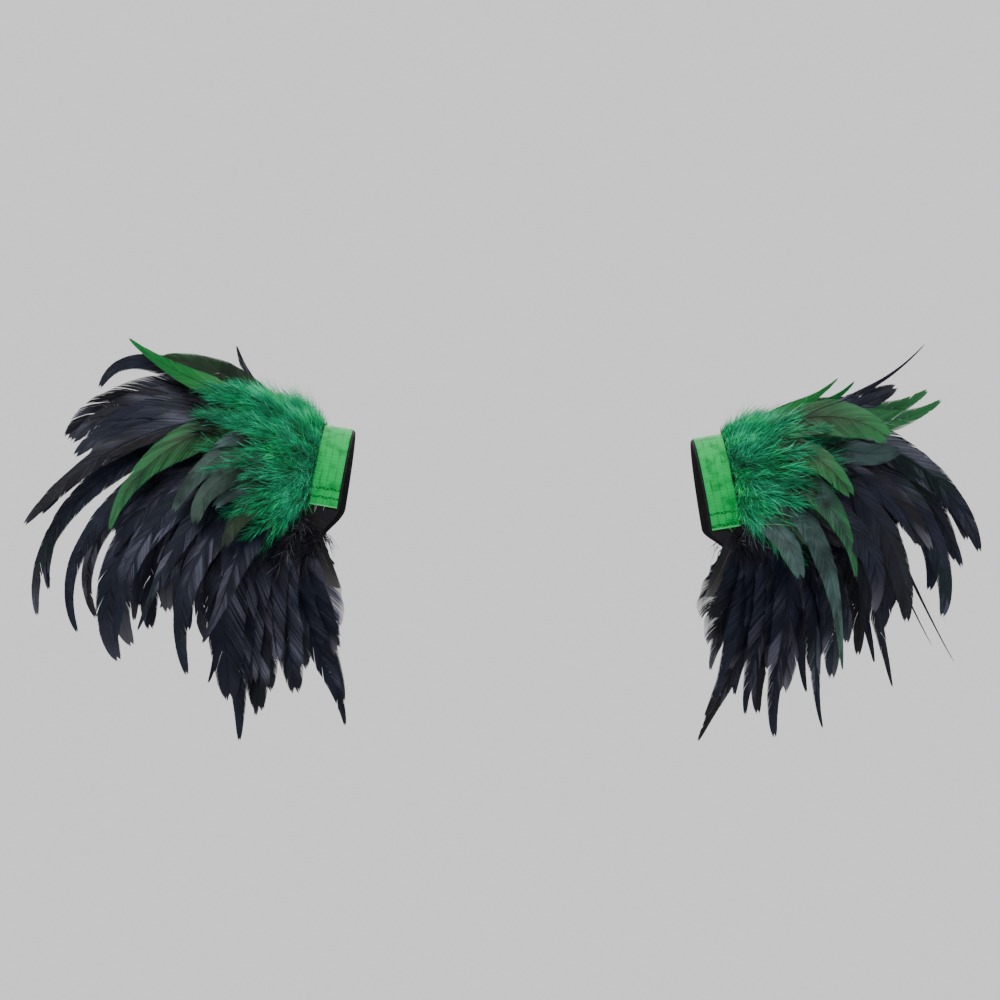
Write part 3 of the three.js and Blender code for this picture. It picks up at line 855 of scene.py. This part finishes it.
def makeDown(side, name, look):
    rng = np.random.default_rng(side.seed * 7 + look["plumes"])
    weave, cells = Weave(), Cells(look["plumes"] * len(look["layers"]), 6)
    for rise, share in look["layers"]:
        for n in range(look["plumes"]):
            spread = 2 * (n + 0.5 + rng.uniform(-0.3, 0.3)) / look["plumes"] - 1
            around = look["ends"] * np.sign(spread) * abs(spread) ** look["spacing"]
            long = look["long"] + (look["endLong"] - look["long"]) * smooth(abs(spread), 0.45, 1)
            long *= share * rng.uniform(0.85, 1.1)
            climb = max(rise * smooth(abs(around), 8, 50), rise - plume["topFlatter"])
            climb = climb + side.downRise * (1 - 0.6 * abs(spread)) + rng.normal(0, plume["climbStray"])
            spine = downSpine(side, look, around, climb, long, rng)
            addPlume(weave, spine, look, cells.take(), rng)
    weave.make(side, f"{name}_down", look["finish"], look["slot"])


for side in sides:
    for name, look in downs.items():
        makeDown(side, name, look)
print("down made")


# The felt's neck edge is cut back below the ends of the ribbon. middle is the height of the middle of
# its thickness, where its flat size is measured.
feltSizes = {
    "thick": 1.5, "neckEdge": -1.5, "cutBack": 15, "rows": 180, "columns": 34, "fuzz": 0.07,
    "inset": 0.12, "middle": -0.75,
}


def feltEdge(around):
    share = np.cos(np.radians(90 * around / band["ends"]))
    return band["endWidth"] + (band["topWidth"] - band["endWidth"]) * share


def feltNeck(side, around):
    below = smooth(np.abs(around), side.ribbonEnd, band["ends"])
    return feltSizes["neckEdge"] + feltSizes["cutBack"] * below


# A closed shell between two heights over the band: over the top, round the edge and back below.
def addShell(weave, side, around, across, top, low, **numbers):
    around, across, top, low = np.broadcast_arrays(around, across, top, low)
    loop = lambda above, below: np.concatenate([above, below[:, ::-1], above[:, :1]], 1)
    capped = lambda grid: np.concatenate([grid[:1], grid, grid[-1:]], 0)
    height, middle = capped(loop(top, low)), (loop(top, low) + loop(low, top)) / 2
    height[0], height[-1] = middle[0], middle[-1]
    points = side.at(capped(loop(around, around)), capped(loop(across, across)), height)
    numbers = {"along": around * perDegree, "across": across, **numbers}
    numbers = {key: np.broadcast_to(n, across.shape) for key, n in numbers.items()}
    numbers = {key: capped(loop(n, n)) for key, n in numbers.items()}
    stops = (np.linspace(0.01, 0.99, count) for count in points.shape[:2])
    spots = np.stack(np.meshgrid(*stops, indexing="ij"), -1)
    if side.sign > 0:
        points, spots = points[:, ::-1], spots[:, ::-1]
        numbers = {key: n[:, ::-1] for key, n in numbers.items()}
    weave.add(points[None], spots[None], **numbers)


# The flat size of a grid of points: its width, its length and its area, in metres.
def flatSize(points):
    wide = np.linalg.norm(np.diff(points, axis=1), axis=2).sum(1).max() * metre
    middle = points[:, points.shape[1] // 2]
    long = np.linalg.norm(np.diff(middle, axis=0), axis=1).sum() * metre
    a, b = points[1:, 1:] - points[:-1, :-1], points[1:, :-1] - points[:-1, 1:]
    area = np.linalg.norm(np.cross(a, b), axis=2).sum() / 2 * metre**2
    return (float(wide), float(long)), float(min(area, wide * long))


# Slow waves in all directions, from about -1 to 1.
def ripples(around, across, seed, waves=14):
    rng = np.random.default_rng(seed)
    total = np.zeros(np.broadcast(around, across).shape)
    for _ in range(waves):
        turn, slope, start = rng.uniform(0.08, 0.5), rng.uniform(0.1, 0.9), rng.uniform(0, 6.28)
        total = total + np.sin(around * turn + across * slope + start)
    return total / 6


def makeFelt(side):
    around = np.linspace(-band["ends"], band["ends"], feltSizes["rows"])[:, None]
    neck, edge = feltNeck(side, around), feltEdge(around)
    across = neck + (edge - neck) * np.linspace(0, 1, feltSizes["columns"])
    fuzz = feltSizes["fuzz"] * ripples(around * 3, across * 2, side.seed)
    weave, inset = Weave(), feltSizes["inset"]
    addShell(weave, side, around, across, -inset + fuzz, -feltSizes["thick"] + inset + fuzz)
    thing = weave.make(side, "felt", "felt", "black_felt", "felt_band", weld=True)
    return thing, flatSize(side.at(around, across, feltSizes["middle"]))


# seams are where the ribbon's cross seams lie before its two ends, and creases run along it.
ribbonSizes = {
    "low": 0.35, "top": 1.12, "middle": 0.8, "width": 22, "rows": 300, "columns": 32, "sway": 0.22,
    "hem": 8, "hemThick": 0.3, "hemStep": 0.8, "edge": 0.7, "edgeFall": 0.3,
    "seams": {"right": (6.5, 13.0), "left": (2.6, 11.5)}, "seamWide": 0.65, "seamDeep": 0.16,
    "creases": (5.4, 11.2, 16.4), "creaseWide": 0.4, "creaseDeep": 0.09, "pucker": 0.09, "ripple": 0.07,
}


def ridge(distance, width):
    return np.exp(-((distance / width) ** 2))


# The height of the ribbon's face, the painted shade in its seams and creases, and the painted highlight
# along the fold where its end is folded over.
def ribbonFace(side, around, across):
    sizes, hem = ribbonSizes, ribbonSizes["hem"]
    left = (side.ribbonEnd - np.abs(around)) * perDegree
    seams = (left - at + 0.25 * np.sin(across * 0.8) for at in sizes["seams"][side.name])
    seams = sum(ridge(distance, sizes["seamWide"]) for distance in seams)
    wander = 0.5 * np.sin(around * 0.11 + side.seed)
    creases = sum(ridge(across - at - wander, sizes["creaseWide"]) for at in sizes["creases"])
    puckers = np.sin(across * 1.9 + 0.6 * np.sin(around)) * ridge(left - 9, 6)
    top = sizes["top"] + sizes["hemThick"] * (1 - smooth(left, hem - sizes["hemStep"], hem))
    top = top - sizes["seamDeep"] * seams - sizes["creaseDeep"] * creases
    top = top + sizes["pucker"] * puckers + sizes["ripple"] * ripples(around, across, side.seed + 3)
    edge = np.minimum(across, sizes["width"] - across)
    top = top - sizes["edgeFall"] * (1 - smooth(edge, 0, sizes["edge"]))
    # Painted shade in the sunk seams and creases.
    worn = np.clip(seams + 0.45 * creases * (0.6 + 0.4 * np.sin(around * 0.3)), 0, 1)
    # The last value says where a painted highlight runs along the fold.
    return top, worn, 1 - smooth(left, 0.5, 1.3)


def makeRibbon(side):
    around = np.linspace(-side.ribbonEnd, side.ribbonEnd, ribbonSizes["rows"])[:, None]
    across = np.linspace(0, ribbonSizes["width"], ribbonSizes["columns"])[None, :]
    sway = ribbonSizes["sway"] * np.sin(around * 0.21 + side.seed)
    across = across + sway * (across / ribbonSizes["width"])
    top, worn, fold = ribbonFace(side, around, across)
    weave = Weave()
    # streak carries the painted shade in the seams and creases, and pale the painted highlight along the
    # fold at each end.
    addShell(weave, side, around, across, top, ribbonSizes["low"], streak=worn, pale=fold)
    thing = weave.make(side, "ribbon", "satin", "green_satin", "satin_ribbon", weld=True)
    return thing, flatSize(side.at(around, across, ribbonSizes["middle"]))


# Small tubes that follow lists of points over the band, thinner at their ends.
def addTubes(weave, points, radius, rings=6):
    ahead = unit(np.gradient(points, axis=1))
    side = unit(np.cross(ahead, np.array([0.31, 0.42, 0.85])))
    over = np.cross(ahead, side)
    turn = np.linspace(0, 2 * np.pi, rings, endpoint=False)
    size = radius * np.clip(np.sin(np.linspace(0.12, np.pi - 0.12, points.shape[1])) * 2.2, 0, 1)
    ring = side[:, :, None] * np.cos(turn)[:, None] + over[:, :, None] * np.sin(turn)[:, None]
    tube = points[:, :, None] + ring * size[None, :, None, None]
    lengths = np.linalg.norm(np.diff(points, axis=1), axis=2)
    run = np.concatenate([np.zeros((len(points), 1)), np.cumsum(lengths, 1)], 1)[:, :, None]
    spots = np.stack(np.broadcast_arrays(run / 60, np.linspace(0.1, 0.9, rings)), -1)
    weave.add(tube, spots, closed=True, along=run + turn * 0.5)


# inset and outer are the lines along the ribbon, and seamFrom and seamTo the ends of its cross seams.
stitch = {
    "long": 1.9, "step": 2.7, "radius": 0.17, "rise": 0.2, "sunk": 0.1, "points": 5,
    "inset": {"right": 1.4, "left": 3.8}, "outer": 20.6, "seamFrom": 0.8, "seamTo": 21.2,
}


def addStitches(weave, side, start, end, heightAt):
    start, end = np.array(start, float), np.array(end, float)
    span = math.hypot((end[0] - start[0]) * perDegree, end[1] - start[1])
    count = int(span / stitch["step"])
    first = (np.arange(count) + 0.15)[:, None] / count
    t = first + np.linspace(0, stitch["long"] / span, stitch["points"])
    around, across = (start[i] + (end[i] - start[i]) * t for i in (0, 1))
    arch = stitch["rise"] * np.sin(np.linspace(0, np.pi, stitch["points"]))
    line = side.at(around, across, heightAt(around, across) + arch - stitch["sunk"])
    addTubes(weave, line, stitch["radius"])


def makeStitches(side):
    weave, end = Weave(), side.ribbonEnd
    face = lambda around, across: ribbonFace(side, around, across)[0]
    for across in (stitch["inset"][side.name], stitch["outer"]):
        addStitches(weave, side, (1 - end, across), (end - 1, across), face)
    for at in ribbonSizes["seams"][side.name]:
        for forth in (-1, 1):
            around = forth * (end - at / perDegree)
            addStitches(weave, side, (around, stitch["seamFrom"]), (around, stitch["seamTo"]), face)
    return weave.make(side, "ribbon_stitches", "greenThread", "green_satin")


# Loose thread ends at the front end of each ribbon: around and across where they start, and how far
# they go away, off the band and down.
threads = {
    "radius": 0.13, "root": 1.4, "points": 16,
    "right": {
        "finish": "paleThread",
        "ends": [(88, 14, 2, 3, 5), (88.5, 17, -1, 2, 6), (88.3, 9, 1, 2, 4)],
    },
    "left": {"finish": "greenThread", "ends": [(96, 21.5, 46, 27, 7), (97.5, 12, 3, 2, 4)]},
}


def makeThreads(side):
    weave, look = Weave(), threads[side.name]
    t = np.linspace(0, 1, threads["points"])[:, None]
    for around, across, away, off, down in look["ends"]:
        root, fall = side.at(around, across, threads["root"]), side.alongRing(around)
        curve = root + side.outwards * away * t + side.fromRing(around) * off * np.sin(np.pi * t * 0.8)
        curve = curve + fall * down * t**1.6 + fall * 0.5 * np.sin(t * 9)
        addTubes(weave, curve[None], threads["radius"])
    return weave.make(side, "loose_threads", look["finish"], "green_satin")


# The strap bows inwards at the foot of the armhole and laps under the felt. corners are those of the
# stitched boxes at its ends: how far along the lap, and across.
strapSizes = {
    "thick": 1.15, "from": 15, "inwards": 25, "width": 12, "lap": 9, "gap": 0.3, "rows": 120,
    "columns": 22, "inset": 0.08, "middle": -2.4, "cord": 0.05, "rib": 0.03,
    "corners": [(1.2, 16.5), (7.5, 13.5), (7.5, 22), (1.2, 25)],
}
strapStart = band["ends"] - strapSizes["lap"]
strapTop = -feltSizes["thick"] - strapSizes["gap"]


def makeStrap(side):
    around = np.linspace(strapStart, 360 - strapStart, strapSizes["rows"])[:, None]
    share = (around - strapStart) / (360 - 2 * strapStart)
    first = strapSizes["from"] - strapSizes["inwards"] * np.sin(np.pi * share)
    across = first + strapSizes["width"] * np.linspace(0, 1, strapSizes["columns"])
    cords = strapSizes["cord"] * np.sin((across - first) * 7.9) + strapSizes["rib"] * np.sin(around * 6)
    top = strapTop - strapSizes["inset"] + cords
    low = top - strapSizes["thick"] + 2 * strapSizes["inset"] - 2 * cords
    weave = Weave()
    addShell(weave, side, around, across, top, low)
    thing = weave.make(side, "strap", "elastic", "black_elastic", "underarm_strap", weld=True)
    return thing, flatSize(side.at(around, across, strapSizes["middle"]))


def makeStrapStitches(side):
    weave = Weave()
    under = lambda around, across: np.full(around.shape, strapTop - strapSizes["thick"] - 0.05)
    corners = [(strapStart + along, across) for along, across in strapSizes["corners"]]
    for mirror in (lambda a: a, lambda a: 360 - a):
        for one, other in zip(corners, corners[1:] + corners[:1]):
            addStitches(weave, side, (mirror(one[0]), one[1]), (mirror(other[0]), other[1]), under)
    return weave.make(side, "strap_stitches", "blackThread", "black_elastic")


for side in sides:
    felt, (flat, area) = makeFelt(side)
    trim = [makeStitches(side), makeThreads(side)]
    ribbon, (flat, area) = makeRibbon(side)
    trim = [makeStrapStitches(side)]
    strap, (flat, area) = makeStrap(side)
print("bands, ribbons and straps made")


# The floor is far below and the lamps stand round the pair, all in metres.
stage = {"floorDown": -1.4, "floorRadius": 5.0, "corners": 96, "pale": (0.86, 0.86, 0.86), "air": 1.0}
camera = {"aim": (-0.0194, -0.0496), "away": 2.6, "perPixel": 0.000775, "pixels": 1000, "sensor": 36}
lamps = [
    {"name": "key", "spot": (-1.5, -2.3, 2.1), "size": 1.2, "watts": 70},
    {"name": "fill", "spot": (2.1, -2.3, 0.7), "size": 1.4, "watts": 22},
    {"name": "over", "spot": (0.2, 0.4, 2.3), "size": 1.6, "watts": 62},
    {"name": "rim", "spot": (0.0, 2.6, 1.0), "size": 1.8, "watts": 35},
]
scene = bpy.context.scene

corners, radius = stage["corners"], stage["floorRadius"]
bpy.ops.mesh.primitive_circle_add(vertices=corners, radius=radius, fill_type="NGON")
floor = bpy.context.object
floor.name = "floor"
floor.location = (0, 0, stage["floorDown"])
floor.data.materials.append(Graph("pale floor").finish(Base_Color=stage["pale"], Roughness=0.9))

scene.world = bpy.data.worlds.new("studio")
scene.world.use_nodes = True
air = scene.world.node_tree.nodes["Background"].inputs
air["Color"].default_value = (1, 1, 1, 1)
air["Strength"].default_value = stage["air"]

for lamp in lamps:
    light = bpy.data.lights.new(lamp["name"], "AREA")
    light.energy, light.size = lamp["watts"], lamp["size"]
    thing = bpy.data.objects.new(lamp["name"], light)
    scene.collection.objects.link(thing)
    thing.location = lamp["spot"]
    thing.rotation_euler = (-thing.location).to_track_quat("-Z", "Y").to_euler()    # aimed at the middle

lens = bpy.data.cameras.new("camera")
lens.sensor_width = camera["sensor"]
lens.lens = camera["sensor"] * camera["away"] / (camera["perPixel"] * camera["pixels"])
eye = bpy.data.objects.new("camera", lens)
eye.location = (camera["aim"][0], -camera["away"], camera["aim"][1])
eye.rotation_euler = (math.radians(90), 0, 0)
scene.collection.objects.link(eye)
scene.camera = eye

bpy.context.view_layer.update()
